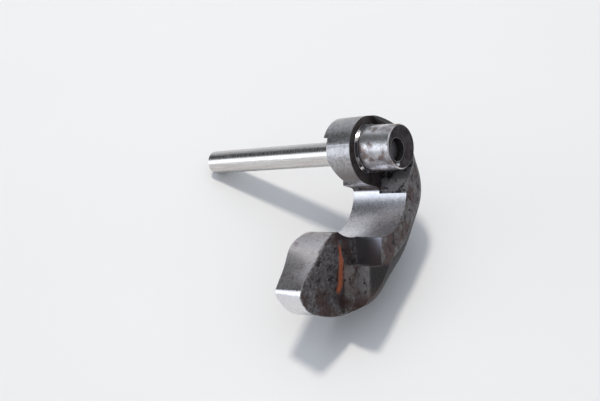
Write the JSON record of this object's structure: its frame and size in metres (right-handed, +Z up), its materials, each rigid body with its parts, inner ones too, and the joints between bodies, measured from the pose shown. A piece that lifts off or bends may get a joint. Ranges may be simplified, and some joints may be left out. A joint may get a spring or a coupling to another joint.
{
  "type": "pivot arm with eccentric bush",
  "caption": "Crescent-shaped steel arm with a round boss, an adjustable eccentric bush and a long ground pivot pin, as used in a small mechanism.",
  "frame": {"origin": "bottom centre of the bounding box, on the surface the part lies on", "axes": "+Z up from the surface the part lies on, +X the level direction in which the pivot pin points towards the bush's head, so the pin slopes up along +X"},
  "size_m": [0.0624, 0.0517, 0.0338],
  "materials": {
    "forged_arm": "dark forged scale with rust and pits, machined and worn bright in the bore and on the boss",
    "bush_steel": "turned steel, patchy grey with brown stains",
    "ground_pin": "bright ground steel"
  },
  "bodies": {
    "arm": {"crescent_arm": "forged_arm"},
    "eccentric": {"eccentric_bush": "bush_steel", "pivot_pin": "ground_pin"}
  },
  "joints": [
    {"name": "eccentric_turn", "type": "hinge", "parent": "arm", "child": "eccentric", "pos_m": [0.0165, 0.01645, 0.02516], "axis": [0.8933, 0, 0.4495], "continuous": true}
  ]
}
